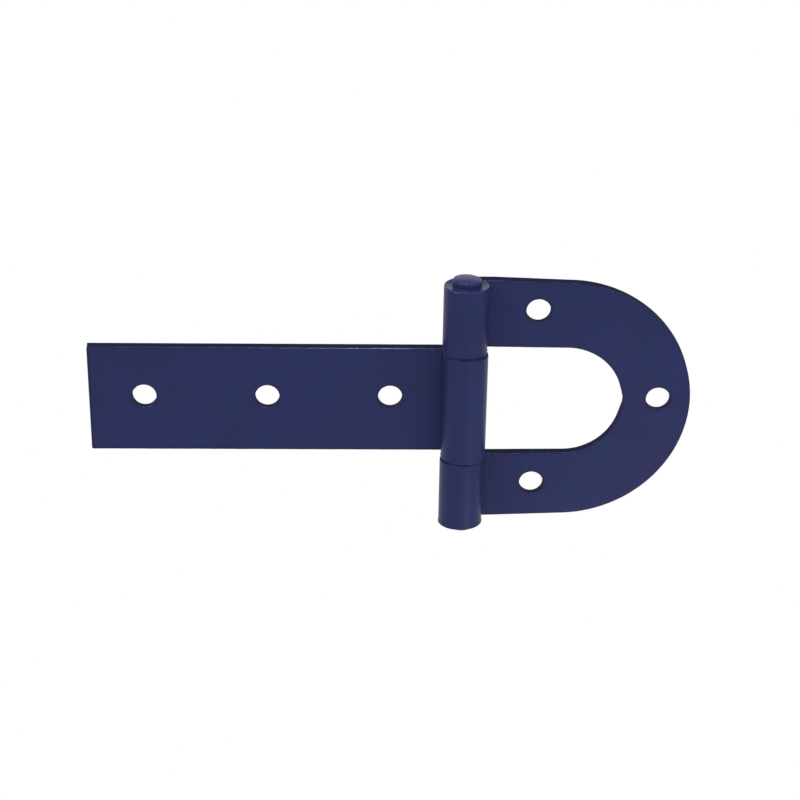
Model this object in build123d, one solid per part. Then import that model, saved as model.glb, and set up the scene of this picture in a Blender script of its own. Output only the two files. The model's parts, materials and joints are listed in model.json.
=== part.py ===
"""Gate hinge: a long strap leaf and a horseshoe leaf, each bent from one sheet, turning on a pin.

+X runs along the hinge, from the strap to the bow of the horseshoe. +Y points out of the back faces,
into the gate and the post. +Z is up, along the pin. The origin is on the strap's back plane, straight
behind the middle of the pin.
"""
import os
from math import acos, asin, atan2, degrees, hypot

from build123d import *

# Sheet, with its enamel, and pin
sheet_thickness = 2.75
pin_diameter = 9.525
pin_head_stand_out = 2.6
pin_foot_stand_out = 1.7
pin_end_rounding = 1.2

# Clearances: of the middle knuckle on the pin, over it and under it, and at each curl's free end
running_clearance = 0.10
upper_gap = 0.45
lower_gap = 0.95
seam_gap = 0.3

# Strap leaf, with its lengths taken from the pin's axis
strap_width = 38.1
strap_length = 126.35
strap_first_hole = 24.7
strap_end_margin = 18.65
strap_hole_count = 3

# Horseshoe leaf, with its lengths taken from the pin's axis
horseshoe_reach = 77.25
arm_width = 24.15
arm_taper = 0.9
arm_straight = 9.5
bow_width = 23.1
window_taper = 0.25
window_point_depth = 0.5
arm_hole_reach = 24.4
arm_hole_from_window = 12.3
nose_hole_margin = 10.95

# Bolt holes sit a little above the middle of both leaves
hole_diameter = 8.5
hole_rise = 0.9

# Arrises, softened under the paint
edge_rounding = 0.35
hole_edge_rounding = 0.2

# Barrel: the middle knuckle runs on the pin, and the outer knuckles are closed tight on it
pin_radius = pin_diameter / 2
middle_bore = pin_radius + running_clearance
axis_y = -(middle_bore + sheet_thickness)
horseshoe_back_y = axis_y + pin_radius + sheet_thickness
horseshoe_front_y = horseshoe_back_y - sheet_thickness

# Heights, from the middle of the horseshoe leaf
window_half = (strap_width + upper_gap + lower_gap) / 2
outer_half = window_half + arm_width
strap_centre_z = (lower_gap - upper_gap) / 2
strap_low_z = strap_centre_z - strap_width / 2
strap_high_z = strap_centre_z + strap_width / 2

# Round ends of the horseshoe's outline and of its window
outer_radius = outer_half - arm_taper
outer_centre_x = horseshoe_reach - outer_radius
window_radius = window_half - window_taper
window_centre_x = horseshoe_reach - bow_width - window_radius

quarter_turn = 90
# A cutter runs this far past the plate on each side
cut_margin = 1.0
# Two places closer than this are the same
same_place = 1e-4


def leaf_section(bore_radius, flat_length, side):
    """Section of a bent leaf in the XY plane: its curl, and a flat part behind the pin's axis.

    The curl starts behind the pin, goes round its far side and its front, and stops seam_gap short of
    the leaf's own front face. The flat part runs flat_length from the axis, or is left out where that
    is 0. side is -1 for a leaf that lies to the left of the pin and 1 for one to the right.
    """
    outer_curl = bore_radius + sheet_thickness
    past_three_quarters = degrees(asin((bore_radius - seam_gap) / outer_curl))
    sweep = side * (3 * quarter_turn + past_three_quarters)
    back_y = axis_y + outer_curl
    front_y = axis_y + bore_radius
    with BuildSketch() as section:
        with BuildLine():
            outside = CenterArc((0, axis_y), outer_curl, quarter_turn, sweep)
            inside = CenterArc((0, axis_y), bore_radius, quarter_turn, sweep)
            Line(outside @ 1, inside @ 1)
            if flat_length:
                end_x = side * flat_length
                Polyline((0, back_y), (end_x, back_y), (end_x, front_y), (0, front_y))
            else:
                Line((0, back_y), (0, front_y))
        make_face()
    return section.sketch


def plate_plane(back_y):
    """Plane on a leaf's back face: its x runs along the hinge, its y up and its normal forwards."""
    return Plane(origin=(0, back_y, 0), x_dir=(1, 0, 0), z_dir=(0, -1, 0))


def drilled(leaf, back_y, places):
    """The leaf with a bolt hole at each (x, z) place, and the edges of the holes broken."""
    start = plate_plane(back_y + cut_margin)
    depth = sheet_thickness + 2 * cut_margin
    disc = Circle(hole_diameter / 2)
    cutters = [extrude(start * Pos(x, z) * disc, amount=depth) for x, z in places]
    pierced = leaf - cutters
    rims = new_edges(leaf, combined=pierced).filter_by(GeomType.CIRCLE)
    return fillet(rims, hole_edge_rounding)


def strap_leaf():
    """Flat bar whose end is curled into the middle knuckle."""
    section = leaf_section(middle_bore, strap_length, -1)
    leaf = Pos(0, 0, strap_low_z) * extrude(section, amount=strap_width)
    sides = leaf.edges().filter_by_position(Axis.Z, strap_low_z, strap_low_z)
    sides += leaf.edges().filter_by_position(Axis.Z, strap_high_z, strap_high_z)
    leaf = fillet(sides, edge_rounding)
    pitch = (strap_length - strap_first_hole - strap_end_margin) / (strap_hole_count - 1)
    row_z = strap_centre_z + hole_rise
    places = [(-strap_first_hole - pitch * i, row_z) for i in range(strap_hole_count)]
    return drilled(leaf, 0, places)


def smooth_meeting(start_x, start_z, centre_x, radius):
    """Angle on a round end, from +X, where the line from a point up and left of it meets it smoothly."""
    run = start_x - centre_x
    return degrees(atan2(start_z, run) - acos(radius / hypot(run, start_z)))


def u_outline(half_height, centre_x, radius, point_depth=0):
    """Outline of a U on its side, closed along the pin's axis.

    Its sides run straight from the axis for arm_straight, then lean in to meet the round end
    smoothly. With a point_depth, the round end runs out into a blunt point that much further on.
    """
    meeting = smooth_meeting(arm_straight, half_height, centre_x, radius)
    tip_radius = radius + point_depth
    point_angle = degrees(acos(radius / tip_radius))
    centre = (centre_x, 0)
    with BuildSketch() as outline:
        with BuildLine():
            upper = CenterArc(centre, radius, meeting, point_angle - meeting)
            lower = CenterArc(centre, radius, -meeting, meeting - point_angle)
            Polyline(upper @ 0, (arm_straight, half_height), (0, half_height), (0, -half_height))
            Polyline((0, -half_height), (arm_straight, -half_height), lower @ 0)
            if point_depth:
                Polyline(upper @ 1, (centre_x + tip_radius, 0), lower @ 1)
        make_face()
    return outline.sketch


def lies_at(low, high, levels):
    """Whether an edge that spans low to high lies wholly at one of the levels."""
    return any(abs(low - level) < same_place > abs(high - level) for level in levels)


def horseshoe_rims(leaf):
    """Edges of the horseshoe's cut sides: its outlines on both faces, and its knuckles' ends."""
    ends = [side * z for side in (-1, 1) for z in (window_half, outer_half)]
    rims = []
    for edge in leaf.edges():
        box = edge.bounding_box()
        on_a_face = lies_at(box.min.Y, box.max.Y, (horseshoe_back_y, horseshoe_front_y))
        on_an_end = lies_at(box.min.Z, box.max.Z, ends)
        if box.size.X > same_place and (on_a_face or on_an_end):
            rims.append(edge)
    return rims


def horseshoe_leaf():
    """U-shaped plate whose two arm ends are curled into the outer knuckles."""
    outline = u_outline(outer_half, outer_centre_x, outer_radius)
    window = u_outline(window_half, window_centre_x, window_radius, window_point_depth)
    leaf = extrude(plate_plane(horseshoe_back_y) * (outline - window), amount=sheet_thickness)
    curl = extrude(leaf_section(pin_radius, 0, 1), amount=arm_width)
    for low_z in (window_half, -outer_half):
        leaf += Pos(0, 0, low_z) * curl
    leaf = fillet(horseshoe_rims(leaf), edge_rounding)
    arm_hole_z = window_half + arm_hole_from_window
    places = [(arm_hole_reach, hole_rise + side * arm_hole_z) for side in (-1, 1)]
    places.append((horseshoe_reach - nose_hole_margin, hole_rise))
    return drilled(leaf, horseshoe_back_y, places)


def hinge_pin():
    """Round bar whose rounded ends stand out of the barrel, the head a little further than the foot."""
    bar = Cylinder(pin_radius, 2 * outer_half + pin_head_stand_out + pin_foot_stand_out)
    bar = fillet(bar.edges().filter_by(GeomType.CIRCLE), pin_end_rounding)
    return Pos(0, axis_y, (pin_head_stand_out - pin_foot_stand_out) / 2) * bar


def main():
    """Write one STEP file for each piece."""
    os.makedirs("parts", exist_ok=True)
    pieces = {
        "strap_leaf": strap_leaf(),
        "horseshoe_leaf": horseshoe_leaf(),
        "hinge_pin": hinge_pin(),
    }
    for name, piece in pieces.items():
        export_step(piece, f"parts/{name}.step")


if __name__ == "__main__":
    main()
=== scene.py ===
"""Gate hinge: dark navy enamel on the strap leaf, the horseshoe leaf and the pin, in a pale studio.

Laid out as an add-on and run as a script. All lengths are in metres, in the frame of the packed model:
+X from the strap to the bow of the horseshoe, +Y out of the back faces, +Z up along the pin.

A leaf is worked out on its flat sheet first, as (run, height, depth): run goes from the pin's axis
along the leaf, height is z, and depth goes in from the back face. What has a run below nought is then
curled round the pin.
"""

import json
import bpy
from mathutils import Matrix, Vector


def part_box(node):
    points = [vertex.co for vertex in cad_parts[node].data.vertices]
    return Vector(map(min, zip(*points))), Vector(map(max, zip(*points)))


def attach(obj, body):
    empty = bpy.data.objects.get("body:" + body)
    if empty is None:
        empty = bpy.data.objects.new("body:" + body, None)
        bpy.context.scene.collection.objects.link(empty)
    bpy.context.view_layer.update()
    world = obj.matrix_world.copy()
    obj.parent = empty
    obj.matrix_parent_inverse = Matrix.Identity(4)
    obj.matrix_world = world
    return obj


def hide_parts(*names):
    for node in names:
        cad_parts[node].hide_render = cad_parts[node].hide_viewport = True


bl_info = {
    "name": "Gate Hinge",
    "version": (1, 0, 0),
    "blender": (4, 5, 0),
    "location": "View3D > Sidebar > Gate Hinge",
    "description": "Builds and enamels the leaves and the pin of a gate hinge, in a pale studio",
    "category": "Object",
}

from math import acos, asin, pi, radians

import bmesh
import bpy
import numpy as np
from mathutils import Matrix, Vector

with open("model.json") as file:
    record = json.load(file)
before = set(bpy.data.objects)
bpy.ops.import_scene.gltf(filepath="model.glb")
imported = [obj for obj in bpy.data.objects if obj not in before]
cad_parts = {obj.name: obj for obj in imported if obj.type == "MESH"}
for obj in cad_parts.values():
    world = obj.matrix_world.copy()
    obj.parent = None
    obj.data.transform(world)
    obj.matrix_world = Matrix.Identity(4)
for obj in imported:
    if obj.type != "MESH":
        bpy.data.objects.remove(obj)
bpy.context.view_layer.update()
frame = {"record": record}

mm = 0.001
weld_reach = 0.002 * mm

# Sizes of the packed model, from its nodes' boxes and its bolt holes
strap_low, strap_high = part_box("strap_leaf")
horseshoe_low, horseshoe_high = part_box("horseshoe_leaf")
pin_low, pin_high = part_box("hinge_pin")
pin_centre = (pin_low + pin_high) / 2
pin_radius = (pin_high.x - pin_low.x) / 2
mounts = {mount["name"]: mount for mount in frame["record"]["mounts"]}
thickness = mounts["strap_middle_bolt"]["dims"]["length_mm"] * mm
hole_radius = mounts["strap_middle_bolt"]["dims"]["r_mm"] * mm
# Height under which a curl's edge is in a joint between two knuckles, and not at the barrel's end
joint_limit = (strap_high.z + horseshoe_high.z) / 2

white = (1.0, 1.0, 1.0, 1.0)

# Numbers of points on a surface: across a face, and along a curl, an arm, the bow and the strap
face_points = 33
curl_points = 65
arm_points = 42
bow_points = 121
strap_points = 126
# Along a quarter circle of an arris, down a cut wall, round a corner, from a hole to its cell's
# border, over a dome or a joint, along a rim or a fillet, and round the pin
arris_points = 8
wall_points = 6
corner_points = 13
ray_points = 6
dome_points = 9
rim_points = 10
pin_points = 96

# Widths and seeds of the uneven waves along the cut walls, the arrises and the holes' arrises, and
# the depth of the first
wall_waves, wall_seed = (2.3 * mm, 5.1 * mm, 13 * mm), 5
arris_waves, arris_seed = (3.7 * mm, 8.3 * mm, 21 * mm), 3
hole_waves, hole_seed = (3 * mm, 8 * mm), 11
wall_hollow = 0.04 * mm

# Strength of the thin film on an arris, with its gloss and its painted highlight: at the back, where
# it doesn't face up, near the pin and far from it, and how far it takes to go from near to far
back_shine, least_shine, near_shine, far_shine, shine_fade = 0.3, 0.1, 1.05, 0.92, 5 * mm


def length_prop(name, description, default):
    """Property for a length in millimetres, or for a row of them."""
    stated = {"name": name, "description": description, "unit": "LENGTH", "precision": 6}
    if isinstance(default, tuple):
        row = tuple(size * mm for size in default)
        return bpy.props.FloatVectorProperty(size=len(row), default=row, **stated)
    return bpy.props.FloatProperty(default=default * mm, **stated)


def angle_prop(name, description, degrees):
    """Property for an angle in degrees."""
    return bpy.props.FloatProperty(
        name=name, description=description, subtype="ANGLE", default=radians(degrees)
    )


def factor_prop(name, description, default, top=1.0):
    """Property for a share, from nought to its top."""
    return bpy.props.FloatProperty(
        name=name, description=description, subtype="FACTOR", min=0.0, max=top, default=default
    )


def colour_prop(name, description, default):
    """Property for a colour."""
    return bpy.props.FloatVectorProperty(
        name=name, description=description, subtype="COLOR", size=3, min=0.0, max=1.0, default=default
    )


def power_prop(name, description, default):
    """Property for a lamp's power in watts."""
    return bpy.props.FloatProperty(name=name, description=description, unit="POWER", default=default)


class SheetSettings(bpy.types.PropertyGroup):
    """Edges of the bent sheets, under their enamel."""

    strap_rounding: length_prop(
        "Strap rounding", "Radius that the shears drew the strap's front arrises over to", 0.60
    )
    horseshoe_rounding: length_prop(
        "Horseshoe rounding", "Radius that the punch drew the horseshoe's front arrises over to", 0.35
    )
    back_rounding: length_prop("Back rounding", "Radius of the arrises on the leaves' backs", 0.22)
    knuckle_rounding: length_prop(
        "Knuckle rounding", "Radius of the same arrises round the outside of the knuckles", 0.36
    )
    hole_rounding: length_prop(
        "Hole rounding", "Radius of the arris that the punch left round a hole in the front face", 0.40
    )
    unevenness: factor_prop(
        "Unevenness", "How much the arrises swell and thin along their length", 0.14, 0.3
    )
    hole_film: length_prop("Hole film", "How far the enamel stands out inside the bolt holes", 0.15)
    edge_reach: length_prop(
        "Edge reach", "How far the long edges stand out at the back, the barrel's ends by half", 0.27
    )
    joint_reach: length_prop(
        "Joint reach", "How far the ends of the knuckles stand out into the gaps between them", 0.06
    )
    lean: length_prop(
        "Lean", "How far the long edges that face up lean in from the back face to the front face", 0.38
    )
    bead: length_prop(
        "Bead", "How far the enamel hangs in a bead under the lowest edge of each leaf", 0.20
    )
    burr: length_prop(
        "Burr", "How far the knuckles' lower ends flare out, where the shears left their burr", 0.15
    )
    overshoot: length_prop(
        "Overshoot", "How far a knuckle stands off to the side that its leaf comes from", 0.27
    )
    strap_climb: length_prop(
        "Strap climb", "Rise along the pin of the strap's curl, at its low and high edge", (0.38, 0.30)
    )
    horseshoe_climb: length_prop(
        "Horseshoe climb",
        "Rise along the pin of the horseshoe's curls, at their four edges from the lowest up",
        (0.72, 0.77, 1.03, 0.05),
    )
    # Painted highlight and gloss: arrises near the pin are made a little lighter and glossier
    highlight_reach: length_prop("Rubbed", "How far from the pin the arrises are rubbed a little brighter", 49)
    ledge: length_prop(
        "Ledge", "Width of the strip that a cut takes from each face, and radius of the corners", 1.2
    )
    seam_gap: length_prop(
        "Seam gap", "Gap left between a curl's free end and the front face of its own leaf", 0.08
    )


class HorseshoeSettings(bpy.types.PropertyGroup):
    """Outline of the horseshoe's window and arms."""

    arm_width: length_prop("Arm width", "Width of each arm at its knuckle", 24.15)
    arm_taper: length_prop(
        "Arm taper", "How far the outline leans in between the knuckles and the bow", 0.9
    )
    window_taper: length_prop(
        "Window taper", "How far the window leans in between the knuckles and its round end", 0.25
    )
    arm_straight: length_prop(
        "Straight of the arms", "Distance from the pin's axis at which the arms start to lean in", 9.5
    )
    bow_width: length_prop("Bow width", "Width of the bow beyond the round end of the window", 23.1)
    window_point: length_prop(
        "Window point", "How far the window's round end would run out into a sharp point", 0.9
    )
    point_softness: angle_prop("Point softness", "Angle over which that point is rounded off", 3)


class PinSettings(bpy.types.PropertyGroup):
    """Ends of the pin, and the enamel that has run into the joints round it."""

    head_rounding: length_prop("Head rounding", "Radius round the rim of the upper end", 0.6)
    foot_rounding: length_prop("Foot rounding", "Radius round the rim of the lower end", 1.0)
    crown: length_prop("Crown", "How much each end is domed inside its rounded rim", 0.30)
    askew: factor_prop(
        "Askew", "How far the cut ends of the pin drop to the right for each unit of width", 0.035, 0.2
    )
    # Painted highlight and gloss: the direction in which the pin's rims keep their lighter film
    sheen_direction: angle_prop(
        "Polish", "Direction in which the pin's rims are worn smooth, from right over back", -117
    )
    foot_fillet: length_prop(
        "Foot fillet", "Size of the enamel's fillet round the pin, where it leaves a knuckle", 0.50
    )
    joint_depth: length_prop(
        "Joint depth", "Depth of the enamel in the upper and the lower gap", (0.70, 0.35)
    )
    joint_play: length_prop(
        "Joint play", "Gap that stays open between that enamel and the middle knuckle", 0.06
    )


class EnamelSettings(bpy.types.PropertyGroup):
    """Colours and finish of the enamel on the leaves and the pin."""

    colour: colour_prop("Colour", "Colour of the enamel on the flat faces", (0.0164, 0.0206, 0.0862))
    # Lighter thin film on the arrises, partly painted highlight where they face up, and painted light
    # on the ends
    thin_and_lit_colour: colour_prop(
        "Thin colour", "Colour where the enamel lies thin over an arris", (0.021, 0.025, 0.100)
    )
    # Painted shade: the darker colour of the cut walls and of a border along the front arrises
    cut_shade_colour: colour_prop(
        "Cut colour", "Colour where the enamel lies thick over a cut edge", (0.0058, 0.0078, 0.0330)
    )
    gloss_level: factor_prop("Gloss", "Strength of the reflection straight off the enamel", 0.15)
    peel_depth: length_prop("Peel depth", "Depth of the fine ripple that the enamel dried with", 0.010)
    peel_width: length_prop("Peel width", "Width of one ripple of the enamel", 1.6)
    shear_depth: length_prop(
        "Shear depth", "Depth of the marks that the shears left on the cut edges", 0.02
    )


class StageSettings(bpy.types.PropertyGroup):
    """Camera, lamps, floor and white surroundings."""

    lens: bpy.props.FloatProperty(
        name="Lens", description="Focal length, for a sensor 36 mm wide", unit="CAMERA", default=88.01
    )
    pitch: angle_prop("Pitch", "How far the camera looks down", 25.044)
    heading: angle_prop("Heading", "How far the camera is turned to the right", 1.427)
    roll: angle_prop("Roll", "How far the camera is tilted to the left", 0.852)
    pin_in_view: length_prop(
        "Pin in view", "The aim as the camera sees it: right, up and away", (21.42, -1.83, 658.43)
    )
    aim_rise: length_prop(
        "Aim rise", "Height of the camera's aim over the middle of the horseshoe leaf", 0.47
    )
    floor_drop: length_prop("Floor drop", "Height of the hinge's middle over the floor", 350)
    floor_colour: colour_prop("Floor colour", "Colour of the floor under light", (0.80, 0.80, 0.80))
    fill_level: factor_prop("Fill level", "Strength of the even light from all round", 0.50)
    left_power: power_prop("Left lamp power", "Power of the lamp in front to the left", 3.3)
    right_power: power_prop("Right lamp power", "Power of the lamp in front to the right", 2.4)
    top_power: power_prop("Top lamp power", "Power of the lamp overhead", 3.7)
    low_power: power_prop("Low lamp power", "Power of the small lamp close below to the right", 0.33)
    ceiling_start: angle_prop(
        "Ceiling start", "Height at which a gloss shows the white surroundings start to darken", 19
    )
    ceiling_full: angle_prop("Ceiling full", "Height from which they are as dark as the ceiling", 31)
    ceiling_level: factor_prop("Ceiling level", "Brightness of the ceiling in a gloss", 0.2)


def ripple(line, widths, seed):
    """Smooth uneven wave, within -1 to 1, at the points of a closed line.

    It is the mean of one sine for each width, with as many whole waves round the line as come nearest
    to that width, and a seeded start.
    """
    share = np.linspace(0, 1, len(line), endpoint=False)
    length = np.linalg.norm(np.roll(line, -1, axis=0) - line, axis=1).sum()
    starts = np.random.default_rng(seed).uniform(0, 1, len(widths))
    waves = [
        np.sin(2 * pi * (round(length / width) * share + start)) for width, start in zip(widths, starts)
    ]
    return sum(waves) / len(waves)


def grid_faces(rows, columns, wrap=False):
    """Corners of the quads of a grid of rows by columns of points, numbered row by row.

    With wrap, the last column joins the first.
    """
    number = np.arange(rows * columns).reshape(rows, columns)
    if wrap:
        number = np.concatenate([number, number[:, :1]], axis=1)
    corners = [number[:-1, :-1], number[1:, :-1], number[1:, 1:], number[:-1, 1:]]
    return np.stack(corners, axis=-1).reshape(-1, 4)


def swept_edge(base, inward, front, back, ledge, lean=0, burr=0, back_share=back_shine):
    """Cut edge of the sheet, carried round a closed line, from the front face over to the back face.

    base and inward give the line's points and the way into the metal there, as (run, height). The
    section starts on the front face, ledge in from the line. The front arris is a quarter circle,
    inset = lean + front * (1 - sin a) and depth = thickness - front * (1 - cos a). The wall goes back
    with a faint wave and comes out by lean on its way, and the back arris and ledge follow as at the
    front, with the arris burr further out than the back face. Gives the grid of (run, height, depth)
    points, and two masks. The first is how far the film has drawn back over an arris, which also
    lightens it as a painted highlight, fully where it faces up and with back_share of that at the
    back. The second is how much a point lies on the cut, for a darker colour that is painted shade;
    it starts at front / ledge on the front arris, so that each border is shaded too.
    """
    turn = np.linspace(0, pi / 2, arris_points)[:, None]
    down = np.linspace(0, 1, wall_points)[1:-1, None]
    hollow = wall_hollow * (1 + ripple(base, wall_waves, wall_seed)) / 2
    flat = np.full((1, len(base)), ledge)
    level = np.ones((1, len(base)))
    nought = level * 0
    inset = [
        flat,
        lean + front * (1 - np.sin(turn)),
        lean * (1 - down) + hollow * np.sin(pi * down),
        back * (1 - np.sin(turn[::-1])),
        flat,
    ]
    depth = [
        level * thickness,
        thickness - front * (1 - np.cos(turn)),
        (thickness - front) * (1 - down) + (back - burr) * down,
        back * (1 - np.cos(turn[::-1])) - burr,
        nought,
    ]
    place = base[None] + inward[None] * np.concatenate(inset)[..., None]
    points = np.concatenate([place, np.concatenate(depth)[..., None]], axis=-1)
    # Painted shade: the cut's darker colour runs on over the front arris from this share
    border_shade = level * front / ledge
    crest = level * np.sin(2 * turn)
    arris = [nought, crest, nought * down, back_share * crest, nought]
    cut = [
        nought,
        border_shade + (1 - border_shade) * np.sin(turn),
        level + 0 * down,
        level * (1 - np.cos(turn[::-1])),
        nought,
    ]
    # Painted highlight: the lighter film is drawn back fully only on arrises that face up
    facing_up = np.clip(-inward[None, :, 1], least_shine, 1)
    return points, np.concatenate(arris) * facing_up, np.concatenate(cut)


def ways_in(line, towards):
    """Unit normals of an open line of (run, height) points, on the side where the other line lies."""
    tangent = np.gradient(line, axis=0)
    normal = np.stack([-tangent[:, 1], tangent[:, 0]], axis=1)
    normal /= np.linalg.norm(normal, axis=1, keepdims=True)
    side = np.sign(((towards - line) * normal).sum(axis=1, keepdims=True))
    return normal * side


def corner(first, last):
    """Ways in round a sharp corner, from the first way to the last.

    They are first * cos a + last * sin a, lengthened by (cos a ** 8 + sin a ** 8) ** (-1 / 8), which
    makes the quarter circle nearly square.
    """
    squareness = 8
    angle = np.linspace(0, pi / 2, corner_points)[1:-1, None]
    share, rest = np.cos(angle), np.sin(angle)
    return (first * share + last * rest) * (share**squareness + rest**squareness) ** (-1 / squareness)


def bent(flat, outer, back_y, side, climb, overshoot):
    """Places in the frame of points on a flat sheet, given as (run, height, depth).

    Where run is above nought, x = side * run and y = back_y - depth. Below nought the sheet curls
    round the pin's axis through the angle a = -run / outer, at the radius outer - depth, first behind
    the pin, then round its far side and its front. By half way round, growing as (1 - cos a) / 2, it
    has shifted by overshoot away from the leaf, and risen by what climb, two rows of heights and
    rises, gives for the point's height.
    """
    run, height, depth = np.moveaxis(flat, -1, 0)
    angle = np.maximum(-run, 0) / outer
    radius = outer - depth
    curled = run < 0
    gone = (1 - np.cos(np.minimum(angle, pi))) / 2
    x = side * np.where(curled, -radius * np.sin(angle) - overshoot * gone, run)
    y = np.where(curled, pin_centre.y + radius * np.cos(angle), back_y - depth)
    return np.stack([x, y, height + np.interp(height, *climb) * gone], axis=-1)


def new_mesh_object(name, points, faces, masks, material):
    """Weld a piece's points, turn its faces outwards, and link it with its masks and material."""
    mesh = bpy.data.meshes.new(name)
    mesh.from_pydata(points, [], faces)
    for mask_name, values in masks.items():
        mask = mesh.attributes.new(mask_name, "FLOAT", "POINT")
        mask.data.foreach_set("value", values.astype(np.float32))
    form = bmesh.new()
    form.from_mesh(mesh)
    bmesh.ops.remove_doubles(form, verts=form.verts, dist=weld_reach)
    bmesh.ops.dissolve_degenerate(form, edges=form.edges, dist=weld_reach)
    bmesh.ops.recalc_face_normals(form, faces=form.faces)
    form.to_mesh(mesh)
    form.free()
    mesh.shade_smooth()
    mesh.materials.append(material)
    piece = bpy.data.objects.new(name, mesh)
    bpy.context.scene.collection.objects.link(piece)
    return piece


def on_leaf(line, ledge):
    """How far each (run, height) point has left the curl: 0 on it, rising to 1 over twice the ledge."""
    return np.clip(line[:, 0] / (2 * ledge), 0, 1)


def reach_out(line, inward, sheet):
    """How far an edge line stands out at each point.

    On the curl it is the joint reach between two knuckles, and half of the edge reach at the ends of
    the barrel. On the leaf it is all of the edge reach, less the lean where the edge faces down, and
    such an edge has the bead as well if it is under the pin's middle.
    """
    leaf = on_leaf(line, sheet.ledge)
    between = np.abs(line[:, 1]) < joint_limit
    curl = np.where(between, sheet.joint_reach, sheet.edge_reach / 2)
    facing_down = np.maximum(inward[:, 1], 0)
    drop = (sheet.bead * (line[:, 1] < 0) - sheet.lean) * facing_down
    return (curl * (1 - leaf) + (sheet.edge_reach + drop) * leaf)[:, None]


def both_faces(grid, wrap):
    """The same grid of (run, height) points on the back and on the front face, with masks of nought."""
    plain = np.zeros(grid.shape[:2])
    return [
        (np.concatenate([grid, plain[..., None] + depth], axis=-1), plain, plain, wrap)
        for depth in (0, thickness)
    ]


def sheet_piece(name, high, low, holes, sheet, rounding, outer, back_y, side, climb, material):
    """Build a bent leaf between its high and low edge lines, with its bolt holes.

    high and low hold the same number of (run, height) points, from one end of the leaf to the other,
    and start and stop the ledge's width short of the ends. holes lists each hole's middle with the
    first and last number of the stretch of line that its cell takes. Each face is ruled across from
    line to line: point = near + (far - near) * v. A cell with a hole is ruled from the hole to the
    cell's border instead, along rays from the hole's middle. The outline and each hole have a cut
    edge, and at last all of it is bent into place. Where the outline's cut lies on the curl, it is
    noted as a pool of enamel instead, which takes a gloss and a lighter colour that is painted
    light on the knuckles' ends, in place of the cut's painted shade.
    """
    ledge = sheet.ledge
    in_high, in_low = ways_in(high, low), ways_in(low, high)
    high = high - in_high * reach_out(high, in_high, sheet)
    low = low - in_low * reach_out(low, in_low, sheet)
    bore = hole_radius - sheet.hole_film
    inner_high, inner_low = high + in_high * ledge, low + in_low * ledge
    across = np.linspace(0, 1, face_points)
    face = inner_high[:, None] + (inner_low - inner_high)[:, None] * across[None, :, None]

    # Outline: the high line, the far end, the low line backwards and the near end, with round corners
    far_way = np.array([-1.0, 0.0]) * np.sign(high[-1, 0] - high[-2, 0])
    base, inward = [], []
    for line, ways, end_line, end_way, after in (
        (high, in_high, face[-1], far_way, in_low[-1]),
        (low[::-1], in_low[::-1], face[0, ::-1], -far_way, in_high[0]),
    ):
        turned_in, turned_out = corner(ways[-1], end_way), corner(end_way, after)
        base += [line, end_line[0] - turned_in * ledge, end_line - end_way * ledge]
        base += [end_line[-1] - turned_out * ledge]
        inward += [ways, turned_in, np.tile(end_way, (len(end_line), 1)), turned_out]
    base, inward = np.concatenate(base), np.concatenate(inward)
    uneven = 1 + sheet.unevenness * ripple(base, arris_waves, arris_seed)
    flat = on_leaf(base, ledge)
    front = rounding * uneven
    back = (sheet.back_rounding * flat + sheet.knuckle_rounding * (1 - flat)) * uneven
    lean = sheet.lean * (np.abs(inward[:, 1]) - flat * np.maximum(inward[:, 1], 0))
    burr = sheet.burr * np.abs(np.sin(np.minimum(base[:, 0], 0) / outer)) * np.clip(inward[:, 1], 0, 1)
    # Only the top knuckle's back arris keeps its full film, gloss and painted highlight
    topmost = base[:, 1] > joint_limit
    back_share = back_shine + topmost * (1 - flat)
    rim, rim_arris, rim_cut = swept_edge(base, inward, front, back, ledge, lean, burr, back_share)
    # Painted highlight and gloss: the arris film is strengthened within highlight_reach of the pin
    near = np.clip((sheet.highlight_reach - base[:, 0]) / shine_fade, 0, 1)
    highlight_boost = far_shine + (near_shine - far_shine) * near
    parts = [(rim, rim_arris * highlight_boost, rim_cut * flat, True)]

    # Holes: each has its own cut edge, and rays from it to its cell's border on both faces
    for number, (middle, first, last) in enumerate(holes):
        sides = [face[first:last, 0], face[last, :-1], face[last:first:-1, -1], face[first, :0:-1]]
        border = np.concatenate(sides)
        reach = border - middle
        ways = reach / np.linalg.norm(reach, axis=1, keepdims=True)
        ring = middle + ways * bore
        uneven = 1 + sheet.unevenness * ripple(ring, hole_waves, hole_seed + number)
        hole_front = sheet.hole_rounding * uneven
        parts.append((*swept_edge(ring, ways, hole_front, hole_front / 2, ledge), True))
        start = middle + ways * (bore + ledge)
        rays = start[None] + (border - start)[None] * np.linspace(0, 1, ray_points)[:, None, None]
        parts += both_faces(rays, True)

    # Faces between the holes' cells
    stretch_starts = [0] + [last for _, _, last in holes]
    stretch_ends = [first for _, first, _ in holes] + [len(high) - 1]
    for first, last in zip(stretch_starts, stretch_ends):
        parts += both_faces(face[first : last + 1], False)

    points, faces, arris, cut, count = [], [], [], [], 0
    for grid, grid_arris, grid_cut, wrap in parts:
        rows, columns = grid.shape[:2]
        points.append(bent(grid, outer, back_y, side, climb, sheet.overshoot).reshape(-1, 3))
        faces.append(grid_faces(rows, columns, wrap) + count)
        arris.append(grid_arris.ravel())
        cut.append(grid_cut.ravel())
        count += rows * columns
    pool = np.zeros(count)
    # Pool of enamel on the knuckles' ends: a gloss, and a lighter colour that is painted light
    pool[: rim_cut.size] = (rim_cut * (1 - flat)).ravel()
    masks = {"arris": np.concatenate(arris), "cut": np.concatenate(cut), "pool": pool}
    return new_mesh_object(name, np.concatenate(points), np.concatenate(faces), masks, material)


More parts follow.
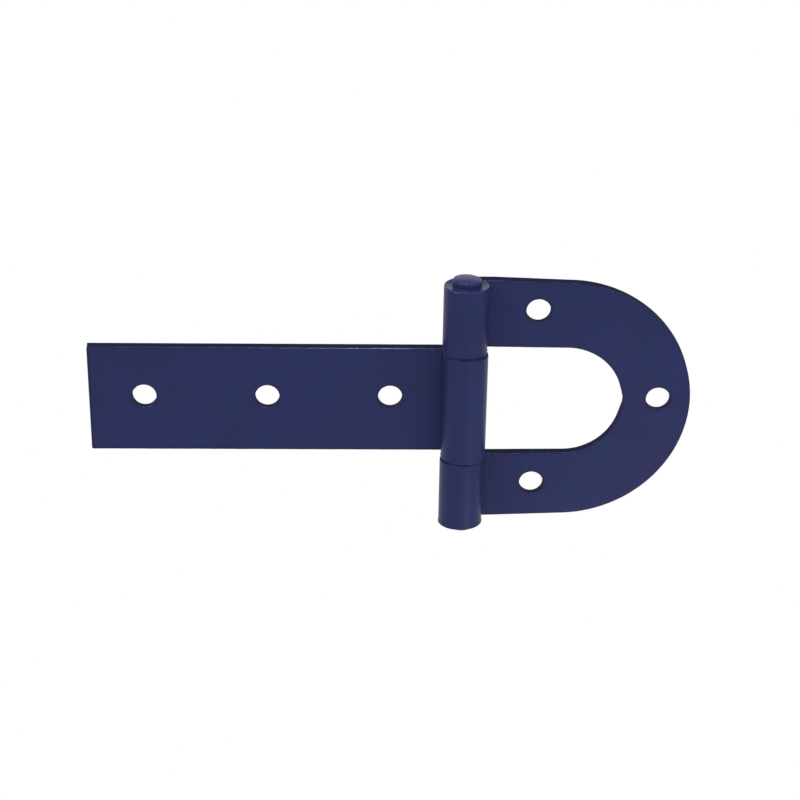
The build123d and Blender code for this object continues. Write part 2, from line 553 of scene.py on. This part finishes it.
def curl_stations(bore, seam_gap, ledge):
    """Runs of the points along a curl, from its free end to the pin's axis.

    The curl goes three quarters of the way round and on until its end is seam_gap short of the
    front face, which lies at the bore's height: the rest of the angle is asin((bore - gap) / outer).
    """
    outer = bore + thickness
    turn = 3 * pi / 2 + asin((bore - seam_gap) / outer)
    return np.linspace(-turn * outer + ledge, 0, curl_points)


class GATEHINGE_OT_strap_leaf(bpy.types.Operator):
    """Build the long strap leaf, curled into the middle knuckle"""

    bl_idname = "gatehinge.strap_leaf"
    bl_label = "Strap leaf"

    def execute(self, context):
        sheet = context.scene.hinge_sheet
        outer = strap_high.x
        middles = mount_places("strap_end_bolts") + mount_places("strap_middle_bolt")
        middles = sorted((-x, z) for x, z in middles)
        reach = -strap_low.x
        curl = curl_stations(outer - thickness, sheet.seam_gap, sheet.ledge)[:-1]
        runs = np.concatenate([curl, np.linspace(0, reach - sheet.ledge, strap_points)])
        high = np.stack([runs, np.full_like(runs, strap_high.z)], axis=1)
        low = np.stack([runs, np.full_like(runs, strap_low.z)], axis=1)
        cell_half = 11 * mm
        holes = [
            (np.array(middle), *cell_ends(runs, middle[0] - cell_half, middle[0] + cell_half))
            for middle in middles
        ]
        material = enamel_material("strap enamel", context.scene.hinge_enamel)
        climb = ((strap_low.z, strap_high.z), sheet.strap_climb)
        rounding = sheet.strap_rounding
        leaf = sheet_piece(
            "strap", high, low, holes, sheet, rounding, outer, strap_high.y, -1, climb, material
        )
        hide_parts("strap_leaf")
        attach(leaf, "gate_side")
        return {"FINISHED"}


def mount_places(name):
    """(x, z) of each hole of a mount, two of them for a pattern, whose own y is the frame's z."""
    x, _, z = mounts[name]["pos_m"]
    dims = mounts[name]["dims"]
    half_x, half_z = (dims.get(key, 0) * mm / 2 for key in ("spacing_x_mm", "spacing_y_mm"))
    if half_x or half_z:
        return [(x - half_x, z - half_z), (x + half_x, z + half_z)]
    return [(x, z)]


def cell_ends(values, low, high):
    """First and last number of the points whose value lies from low to high."""
    inside = np.nonzero((values >= low) & (values <= high))[0]
    return inside[0], inside[-1]


def horseshoe_line(stations, angles, half, taper, straight, centre_x, radius, point=0, softness=0):
    """Upper edge line of the horseshoe or of its window, as (run, height), and its mirror image below.

    The line stays at the height half as far as straight, leans in by taper until it is over the round
    end's centre, and then goes round at that radius. Nearer to the middle than acos(radius / (radius
    + point)), the round end runs on straight into a point: radius / cos(the angle left to go). The
    angle from the middle is taken as the root of its square and the softness's, which blunts the point.
    """
    lean = np.clip((stations - straight) / (centre_x - straight), 0, 1)
    upper = np.stack([stations, half - taper * lean], axis=1)
    point_angle = acos(radius / (radius + point))
    reach = radius / np.cos(np.maximum(point_angle - np.hypot(angles, softness), 0))
    bow = np.stack([centre_x + reach * np.cos(angles), reach * np.sin(angles)], axis=1)
    lower = upper[::-1] * (1, -1)
    return np.concatenate([upper, bow, lower])


class GATEHINGE_OT_horseshoe_leaf(bpy.types.Operator):
    """Build the horseshoe leaf, its arms curled into the outer knuckles"""

    bl_idname = "gatehinge.horseshoe_leaf"
    bl_label = "Horseshoe leaf"

    def execute(self, context):
        sheet, shape = context.scene.hinge_sheet, context.scene.hinge_horseshoe
        outer = -horseshoe_low.x
        outer_half = horseshoe_high.z
        window_half = outer_half - shape.arm_width
        bow_radius = outer_half - shape.arm_taper
        bow_centre = horseshoe_high.x - sheet.edge_reach - bow_radius
        window_radius = window_half - shape.window_taper
        window_centre = horseshoe_high.x - shape.bow_width - window_radius

        curl = curl_stations(outer - thickness, sheet.seam_gap, sheet.ledge)[:-1]
        arm = np.concatenate([curl, np.linspace(0, bow_centre, arm_points)[:-1]])
        window_arm = np.concatenate([curl, np.linspace(0, window_centre, arm_points)[:-1]])
        angles = np.linspace(pi / 2, -pi / 2, bow_points)
        high = horseshoe_line(
            arm, angles, outer_half, shape.arm_taper, shape.arm_straight, bow_centre, bow_radius
        )
        window = (window_half, shape.window_taper, shape.arm_straight, window_centre, window_radius)
        low = horseshoe_line(window_arm, angles, *window, shape.window_point, shape.point_softness)
        (arm_x, low_arm_z), (_, high_arm_z) = mount_places("horseshoe_arm_bolts")
        cell_half = 9 * mm
        first, last = cell_ends(arm, arm_x - cell_half, arm_x + cell_half)
        total = len(high) - 1
        nose_half = radians(15)
        nose = np.nonzero(np.abs(angles) <= nose_half)[0] + len(arm)
        holes = [
            (np.array((arm_x, high_arm_z)), first, last),
            (np.array(mount_places("horseshoe_nose_bolt")[0]), nose[0], nose[-1]),
            (np.array((arm_x, low_arm_z)), total - last, total - first),
        ]
        material = enamel_material("horseshoe enamel", context.scene.hinge_enamel)
        back_y = horseshoe_high.y
        climb = ((-outer_half, -window_half, window_half, outer_half), sheet.horseshoe_climb)
        rounding = sheet.horseshoe_rounding
        leaf = sheet_piece(
            "horseshoe", high, low, holes, sheet, rounding, outer, back_y, 1, climb, material
        )
        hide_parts("horseshoe_leaf")
        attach(leaf, "post_side")
        return {"FINISHED"}


def turned_piece(name, profile, arris, pool, material, askew=0, sheen_direction=None):
    """Turn a closed or pole-to-pole profile round the pin's axis.

    profile holds (radius, height) rows, and each point is the axis plus radius * (cos a, sin a). With
    askew, a point drops by that much for each unit of its x, in full at the profile's ends and not at
    all at half its length: height - askew * x * (height / reach) ** 8. sheen_direction is the angle
    at which the arrises keep most of their lighter film and gloss, a painted highlight on the rim,
    by ((1 + cos(a - sheen_direction)) / 2) ** 6.
    """
    end_only, sheen_narrowness = 8, 6
    angles = np.linspace(0, 2 * pi, pin_points, endpoint=False)
    radius, height = profile[:, :1], profile[:, 1:]
    x = pin_centre.x + radius * np.cos(angles)
    y = pin_centre.y + radius * np.sin(angles)
    slant = askew * radius * np.cos(angles) * (height / np.abs(height).max()) ** end_only
    points = np.stack([x, y, height - slant], axis=-1).reshape(-1, 3)
    shared = np.ones_like(angles)
    if sheen_direction is not None:
        shared = ((1 + np.cos(angles - sheen_direction)) / 2) ** sheen_narrowness
    masks = {
        "arris": (arris[:, None] * shared).ravel(),
        "cut": np.zeros(len(points)),
        "pool": np.repeat(pool, len(angles)),
    }
    return new_mesh_object(name, points, grid_faces(len(profile), len(angles), True), masks, material)


class GATEHINGE_OT_pin(bpy.types.Operator):
    """Build the pin, and the enamel that has run into the gaps between the knuckles"""

    bl_idname = "gatehinge.pin"
    bl_label = "Pin and joints"

    def execute(self, context):
        shape = context.scene.hinge_pin
        fillet, crown = shape.foot_fillet, shape.crown
        sheet = context.scene.hinge_sheet
        film = sheet.edge_reach / 2
        foot_climb, low_climb, high_climb, head_climb = sheet.horseshoe_climb
        share = np.linspace(0, 1, dome_points)
        turn = np.linspace(0, pi / 2, rim_points)
        halves, arrises, pool_and_light_rows = [], [], []
        # Each half goes from its pole to the knuckle: the dome, the rounded rim, the side, the fillet
        for sign, tip, foot, rounding in (
            (1, pin_high.z, horseshoe_high.z + film + head_climb / 2 - fillet, shape.head_rounding),
            (-1, -pin_low.z, -horseshoe_low.z + film - foot_climb / 2 - fillet, shape.foot_rounding),
        ):
            flat_radius = pin_radius - rounding
            tip -= (shape.askew * flat_radius) ** 2 / (4 * crown)
            dome = np.stack([flat_radius * share, tip - crown * share**2], axis=1)
            rim_radius = flat_radius + rounding * np.sin(turn)
            rim = np.stack([rim_radius, tip - crown - rounding * (1 - np.cos(turn))], axis=1)
            flare_radius = pin_radius + fillet * (1 - np.cos(turn))
            flare = np.stack([flare_radius, foot + fillet * (1 - np.sin(turn))], axis=1)
            under = np.array([[pin_radius + fillet, foot - fillet], [pin_radius, foot - 2 * fillet]])
            halves.append(np.concatenate([dome, rim[1:], flare, under]) * (1, sign))
            arrises.append(np.concatenate([0 * share, np.sin(2 * turn)[1:], 0 * turn, [0, 0]]))
            # The pin's ends are a pool of enamel: a gloss, and a lighter colour that is painted light
            pool_and_light_rows.append(np.concatenate([0 * share + 1, np.cos(turn)[1:], 0 * turn, [0, 0]]))
        profile = np.concatenate([halves[0], halves[1][::-1]])
        pool = np.concatenate([pool_and_light_rows[0], pool_and_light_rows[1][::-1]])
        arris = np.concatenate([arrises[0], arrises[1][::-1]])
        material = enamel_material("pin enamel", context.scene.hinge_enamel)
        pin = turned_piece("pin", profile, arris, pool, material, shape.askew, shape.sheen_direction)
        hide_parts("hinge_pin")
        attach(pin, "post_side")

        outer = -horseshoe_low.x
        window_half = horseshoe_high.z - context.scene.hinge_horseshoe.arm_width
        play = shape.joint_play + sheet.joint_reach
        # Across its gap, v = -1 to 1, the enamel's radius is outer - depth * (1 - bulge * v ** 2)
        bulge = 0.45
        above, below = strap_high.z + sheet.strap_climb[1] + play, strap_low.z - play
        for joint_name, near, far, joint_depth in (
            ("upper_joint_enamel", above, window_half + high_climb, shape.joint_depth[0]),
            ("lower_joint_enamel", below, -window_half + low_climb / 2, shape.joint_depth[1]),
        ):
            across = np.linspace(-1, 1, dome_points)
            heights = (near + far) / 2 + (far - near) / 2 * across
            radii = outer - joint_depth * (1 - bulge * across**2)
            ring = np.stack([radii, heights], axis=1)
            inner_radius = pin_radius + shape.joint_play
            inner = np.array([[inner_radius, far], [inner_radius, near]])
            profile = np.concatenate([ring, inner, ring[:1]])
            plain = np.zeros(len(profile))
            enamel_ring = turned_piece(joint_name, profile, plain, plain, material)
            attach(enamel_ring, "post_side")
        return {"FINISHED"}


def link(tree, source, output, target, entry):
    """Join a node's output to another node's input, each given by name or number."""
    tree.links.new(source.outputs[output], target.inputs[entry])


def new_node(tree, kind, place, values=None, **choices):
    """Add a node at a place on the sheet, with the values of unlinked inputs and its other choices."""
    node = tree.nodes.new(kind)
    node.location = place
    for name, value in choices.items():
        setattr(node, name, value)
    for entry, value in (values or {}).items():
        node.inputs[entry].default_value = value
    return node


def noise(tree, place, scale, detail, roughness=0.5, stretch=(1.0, 1.0, 1.0)):
    """Add a noise texture in the piece's own frame: scale is in waves to the metre."""
    where = new_node(tree, "ShaderNodeTexCoord", (place[0] - 360, place[1]))
    mapping = new_node(tree, "ShaderNodeMapping", (place[0] - 180, place[1]), {"Scale": stretch})
    values = {"Scale": scale, "Detail": detail, "Roughness": roughness}
    texture = new_node(tree, "ShaderNodeTexNoise", place, values)
    link(tree, where, "Object", mapping, "Vector")
    link(tree, mapping, "Vector", texture, "Vector")
    return texture


def arithmetic(tree, place, operation, *entries, clamp=False):
    """Add a Math node. Each entry is a number, or a (node, output) pair to link."""
    node = new_node(tree, "ShaderNodeMath", place, operation=operation, use_clamp=clamp)
    for number, entry in enumerate(entries):
        if isinstance(entry, tuple):
            link(tree, entry[0], entry[1], node, number)
        else:
            node.inputs[number].default_value = entry
    return node


def spread(tree, place, source, low, high, to_low=0.0, to_high=1.0):
    """Add a Map Range node that carries low..high of a (node, output) pair onto to_low..to_high."""
    values = {"From Min": low, "From Max": high, "To Min": to_low, "To Max": to_high}
    node = new_node(tree, "ShaderNodeMapRange", place, values)
    link(tree, *source, node, "Value")
    return node


def mix_colours(tree, place, factor, first, second, blend="MIX"):
    """Add a colour Mix node. Each entry is a (node, output) pair, a number or a colour."""
    node = new_node(tree, "ShaderNodeMix", place, data_type="RGBA", blend_type=blend)
    for entry, number in ((factor, 0), (first, 6), (second, 7)):
        if isinstance(entry, tuple) and isinstance(entry[0], bpy.types.Node):
            link(tree, entry[0], entry[1], node, number)
        else:
            node.inputs[number].default_value = entry
    return node


def enamel_film_group():
    """Node group for a film of enamel: its clouded colour, roughness, shine, and height in metres.

    Arris says where the film lies thin over an edge, lighter as a painted highlight where it faces
    up. Cut says where it covers a sheared wall, in a darker colour that is painted shade.
    Pool says where it has run together, on the ends of the knuckles and of the
    pin, with a gloss and a lighter colour that is painted light.
    """
    name = "Enamel film"
    if name in bpy.data.node_groups:
        return bpy.data.node_groups[name]
    # Waves to the metre of the noises, and the depth of the sheet's slow waves
    clouds, hues, patches, grains, slow_waves, shear_marks = 42, 230, 310, 1400, 70, 1300
    slow_depth = 0.05 * mm
    dull, bright, faint, wall_start = 0.93, 1.07, 0.25, 0.85
    purple, teal = (1.11, 0.94, 1.00, 1), (0.85, 1.07, 1.02, 1)
    smooth, rough, wall_rough, worn_rough = 0.37, 0.43, 0.35, -0.12
    # pool_painted_light is how far the pools lighten towards the thin colour, as painted light
    glint_shine, pool_shine, pool_painted_light, crest_sharpness = 0.55, 0.28, 0.5, 4.0
    group = bpy.data.node_groups.new(name, "ShaderNodeTree")
    for socket_name, default in (
        ("Colour", white),
        ("Thin Colour", white),
        ("Cut Colour", white),
        ("Arris", 0.0),
        ("Cut", 0.0),
        ("Pool", 0.0),
        ("Ripples per Metre", 600.0),
        ("Peel Depth", 0.01 * mm),
        ("Shear Depth", 0.05 * mm),
    ):
        kind = "NodeSocketColor" if default is white else "NodeSocketFloat"
        socket = group.interface.new_socket(name=socket_name, in_out="INPUT", socket_type=kind)
        socket.default_value = default
    for socket_name in ("Colour", "Roughness", "Shine", "Height"):
        kind = "NodeSocketColor" if socket_name == "Colour" else "NodeSocketFloat"
        group.interface.new_socket(name=socket_name, in_out="OUTPUT", socket_type=kind)
    entry = new_node(group, "NodeGroupInput", (-900, 0))
    leave = new_node(group, "NodeGroupOutput", (1100, 0))

    # Colour: broad clouds in the film, a faint drift of its hue, the thin film on the arrises that is
    # partly painted highlight, painted shade on the cut walls, and painted light on the ends
    broad = noise(group, (-500, 500), clouds, 2)
    cloud = spread(group, (-300, 500), (broad, 0), 0.3, 0.7, dull, bright)
    hue = spread(group, (-300, 300), (noise(group, (-500, 300), hues, 1.5), 0), 0.35, 0.65)
    drift = mix_colours(group, (-100, 300), (hue, 0), purple, teal)
    clouded = mix_colours(group, (100, 400), 1.0, (entry, "Colour"), (drift, 2), "MULTIPLY")
    lit = mix_colours(group, (300, 400), 1.0, (clouded, 2), (cloud, 0), "MULTIPLY")
    patch = noise(group, (-500, 100), patches, 2)
    patchy = spread(group, (-300, 100), (patch, 0), 0.4, 0.6, faint, 1.0)
    # Thin film on the arrises, partly a painted highlight, with a lower roughness there
    worn_and_highlight = arithmetic(group, (100, 100), "MULTIPLY", (entry, "Arris"), (patchy, 0))
    # Painted shade on the cut walls and along the front arrises' border
    wall_shaded = mix_colours(group, (500, 400), (entry, "Cut"), (lit, 2), (entry, "Cut Colour"))
    pool_and_light = (entry, "Pool")
    # Lighter colour: the thin film on the arrises, partly painted highlight, and painted light on the
    # pools
    thin_and_lit = arithmetic(group, (300, 200), "MULTIPLY_ADD", pool_and_light, pool_painted_light, (worn_and_highlight, 0), clamp=True)
    colour = mix_colours(group, (700, 300), (thin_and_lit, 0), (wall_shaded, 2), (entry, "Thin Colour"))
    link(group, colour, 2, leave, "Colour")

    # Roughness: smooth on the faces, a little rougher on the cut walls, glossiest on the arrises
    fine = noise(group, (-500, -100), grains, 2)
    grain = spread(group, (-300, -100), (fine, 0), 0.3, 0.7, smooth, rough)
    wall = spread(group, (-100, -100), (entry, "Cut"), wall_start, 1.0, 0.0, wall_rough)
    coarse = arithmetic(group, (100, -100), "ADD", (wall, 0), (grain, 0))
    finish = arithmetic(
        group, (300, -100), "MULTIPLY_ADD", (worn_and_highlight, 0), worn_rough, (coarse, 0), clamp=True
    )
    link(group, finish, 0, leave, "Roughness")

    # Shine: a smooth gloss in patches along the crest of the arrises, and where the enamel has pooled
    crest = arithmetic(group, (300, 0), "POWER", (entry, "Arris"), crest_sharpness)
    glint = arithmetic(group, (500, 0), "MULTIPLY", (crest, 0), (patchy, 0))
    spots = arithmetic(group, (700, 0), "MULTIPLY", (glint, 0), glint_shine)
    shine = arithmetic(group, (900, 0), "MULTIPLY_ADD", pool_and_light, pool_shine, (spots, 0), clamp=True)
    link(group, shine, 0, leave, "Shine")

    # Height: the fine peel, slow waves of the sheet, and shear marks that run across the cut walls
    peel_noise = noise(group, (-500, -300), 1.0, 1.5)
    link(group, entry, "Ripples per Metre", peel_noise, "Scale")
    peel = arithmetic(group, (100, -300), "MULTIPLY", (peel_noise, 0), (entry, "Peel Depth"))
    slow = noise(group, (-500, -500), slow_waves, 1)
    waved = arithmetic(group, (300, -400), "MULTIPLY_ADD", (slow, 0), slow_depth, (peel, 0))
    shear_noise = noise(group, (-500, -700), shear_marks, 2, 0.6, (1.0, 0.12, 1.0))
    shear = arithmetic(group, (100, -700), "MULTIPLY", (shear_noise, 0), (entry, "Shear Depth"))
    on_cut = arithmetic(group, (300, -600), "MULTIPLY", (shear, 0), (entry, "Cut"))
    height = arithmetic(group, (500, -500), "ADD", (waved, 0), (on_cut, 0))
    link(group, height, 0, leave, "Height")
    return group


def enamel_material(name, enamel):
    """Material of enamelled steel."""
    coat_roughness = 0.12
    material = bpy.data.materials.new(name)
    material.use_nodes = True
    tree = material.node_tree
    shader = tree.nodes["Principled BSDF"]
    shader.inputs["Specular IOR Level"].default_value = enamel.gloss_level
    shader.inputs["Coat Roughness"].default_value = coat_roughness
    film = new_node(tree, "ShaderNodeGroup", (-400, 200), node_tree=enamel_film_group())
    for entry, value in (
        ("Colour", (*enamel.colour, 1.0)),
        ("Thin Colour", (*enamel.thin_and_lit_colour, 1.0)),
        ("Cut Colour", (*enamel.cut_shade_colour, 1.0)),
        ("Ripples per Metre", 1 / enamel.peel_width),
        ("Peel Depth", enamel.peel_depth),
        ("Shear Depth", enamel.shear_depth),
    ):
        film.inputs[entry].default_value = value
    for row, mask_name in enumerate(("arris", "cut", "pool")):
        mask = new_node(tree, "ShaderNodeAttribute", (-700, 300 - 200 * row), attribute_name=mask_name)
        link(tree, mask, "Fac", film, mask_name.capitalize())
    bump = new_node(tree, "ShaderNodeBump", (-150, -100), {"Distance": 1.0})
    link(tree, film, "Colour", shader, "Base Color")
    link(tree, film, "Roughness", shader, "Roughness")
    link(tree, film, "Shine", shader, "Coat Weight")
    link(tree, film, "Height", bump, "Height")
    link(tree, bump, "Normal", shader, "Normal")
    return material


def blend_shaders(tree, used, seen, output_kind):
    """Link to the output one shader for light, and another for the eye, a gloss and glass."""
    path = new_node(tree, "ShaderNodeLightPath", (-600, 0))
    look = arithmetic(tree, (-400, 0), "MAXIMUM", (path, "Is Camera Ray"), (path, "Is Glossy Ray"))
    mask = arithmetic(tree, (-200, 0), "MAXIMUM", (look, 0), (path, "Is Transmission Ray"))
    mix = new_node(tree, "ShaderNodeMixShader", (200, 0))
    output = new_node(tree, output_kind, (400, 0))
    link(tree, mask, 0, mix, 0)
    link(tree, used, 0, mix, 1)
    link(tree, seen, 0, mix, 2)
    link(tree, mix, 0, output, "Surface")


def add_lamp(name, aim, azimuth, elevation, distance, size, power):
    """Add a square lamp turned to the aim. Azimuth is taken in degrees from the front to the right."""
    azimuth, elevation = radians(azimuth), radians(elevation)
    lamp = bpy.data.lights.new(name, "AREA")
    lamp.shape = "SQUARE"
    lamp.size = size
    lamp.energy = power
    holder = bpy.data.objects.new(name, lamp)
    bpy.context.scene.collection.objects.link(holder)
    level = np.cos(elevation)
    way = Vector((np.sin(azimuth) * level, -np.cos(azimuth) * level, np.sin(elevation)))
    holder.location = aim + way * distance
    holder.rotation_euler = way.to_track_quat("Z", "Y").to_euler()


class GATEHINGE_OT_stage(bpy.types.Operator):
    """Set up the camera, the lamps, the floor and the white surroundings"""

    bl_idname = "gatehinge.stage"
    bl_label = "Studio"

    def execute(self, context):
        stage = context.scene.hinge_stage
        aim = Vector((pin_centre.x, pin_centre.y, stage.aim_rise))
        lens = bpy.data.cameras.new("camera")
        lens.lens = stage.lens
        lens.sensor_width = 36
        camera = bpy.data.objects.new("camera", lens)
        context.scene.collection.objects.link(camera)
        upright = radians(90)
        turn = (
            Matrix.Rotation(-stage.heading, 4, "Z")
            @ Matrix.Rotation(upright - stage.pitch, 4, "X")
            @ Matrix.Rotation(stage.roll, 4, "Z")
        )
        right, up, away = stage.pin_in_view
        seen = Vector((right, up, -away))
        camera.matrix_world = Matrix.Translation(aim - turn.to_3x3() @ seen) @ turn
        context.scene.camera = camera

        # Lamps: azimuth and elevation in degrees, distance and size in metres
        for name, azimuth, elevation, distance, size, power in (
            ("left lamp", -58, 42, 1.0, 0.30, stage.left_power),
            ("right lamp", 58, 42, 1.0, 0.30, stage.right_power),
            ("top lamp", -5, 72, 1.0, 0.09, stage.top_power),
            ("low lamp", 38, -49, 0.37, 0.12, stage.low_power),
        ):
            add_lamp(name, aim, azimuth, elevation, distance, size, power)

        # Floor: a square of matt paper, pale under the light and white to the eye
        half = 4.0
        mesh = bpy.data.meshes.new("floor")
        signs = ((-1, -1), (1, -1), (1, 1), (-1, 1))
        corners = [(x * half, y * half, -stage.floor_drop) for x, y in signs]
        mesh.from_pydata(corners, [], [(0, 1, 2, 3)])
        floor = bpy.data.objects.new("floor", mesh)
        context.scene.collection.objects.link(floor)
        paper = bpy.data.materials.new("white paper")
        paper.use_nodes = True
        tree = paper.node_tree
        tree.nodes.clear()
        pale = (*stage.floor_colour, 1.0)
        matt = new_node(tree, "ShaderNodeBsdfDiffuse", (0, 100), {"Color": pale})
        glow = new_node(tree, "ShaderNodeEmission", (0, -100), {"Strength": 1.0})
        blend_shaders(tree, matt, glow, "ShaderNodeOutputMaterial")
        mesh.materials.append(paper)

        # Surroundings: an even light, white to the eye, with a ceiling that only a gloss sees darken
        world = bpy.data.worlds.new("studio")
        context.scene.world = world
        world.use_nodes = True
        tree = world.node_tree
        tree.nodes.clear()
        even = {"Color": white, "Strength": stage.fill_level}
        fill = new_node(tree, "ShaderNodeBackground", (0, 100), even)
        seen = new_node(tree, "ShaderNodeBackground", (0, -100), {"Color": white})
        way = new_node(tree, "ShaderNodeTexCoord", (-800, -300))
        parts = new_node(tree, "ShaderNodeSeparateXYZ", (-600, -300))
        link(tree, way, "Generated", parts, 0)
        start, full = np.sin(stage.ceiling_start), np.sin(stage.ceiling_full)
        ceiling = spread(tree, (-400, -300), (parts, "Z"), start, full, 1.0, stage.ceiling_level)
        path = new_node(tree, "ShaderNodeLightPath", (-400, -600))
        level = arithmetic(tree, (-200, -300), "MAXIMUM", (ceiling, 0), (path, "Is Camera Ray"))
        link(tree, level, 0, seen, "Strength")
        blend_shaders(tree, fill, seen, "ShaderNodeOutputWorld")
        context.scene.view_settings.view_transform = "Standard"
        return {"FINISHED"}


class GATEHINGE_PT_panel(bpy.types.Panel):
    """Steps and settings of the gate hinge."""

    bl_idname = "GATEHINGE_PT_panel"
    bl_label = "Gate Hinge"
    bl_space_type = "VIEW_3D"
    bl_region_type = "UI"
    bl_category = "Gate Hinge"

    def draw(self, context):
        for operator in operators:
            self.layout.operator(operator.bl_idname)
        for name, group in settings.items():
            box = self.layout.box()
            box.label(text=group.__doc__)
            for entry in group.__annotations__:
                box.prop(getattr(context.scene, name), entry)


operators = (
    GATEHINGE_OT_strap_leaf,
    GATEHINGE_OT_horseshoe_leaf,
    GATEHINGE_OT_pin,
    GATEHINGE_OT_stage,
)
settings = {
    "hinge_sheet": SheetSettings,
    "hinge_horseshoe": HorseshoeSettings,
    "hinge_pin": PinSettings,
    "hinge_enamel": EnamelSettings,
    "hinge_stage": StageSettings,
}


def register():
    """Register the classes, and give the scene its settings."""
    for member in (*settings.values(), *operators, GATEHINGE_PT_panel):
        bpy.utils.register_class(member)
    for name, group in settings.items():
        setattr(bpy.types.Scene, name, bpy.props.PointerProperty(type=group))


def unregister():
    """Take the settings and the classes away again."""
    for name in settings:
        delattr(bpy.types.Scene, name)
    for member in reversed((*settings.values(), *operators, GATEHINGE_PT_panel)):
        bpy.utils.unregister_class(member)


def main():
    """Register the add-on, and run its operators in order."""
    register()
    bpy.ops.gatehinge.strap_leaf()
    bpy.ops.gatehinge.horseshoe_leaf()
    bpy.ops.gatehinge.pin()
    bpy.ops.gatehinge.stage()


if __name__ == "__main__":
    main()
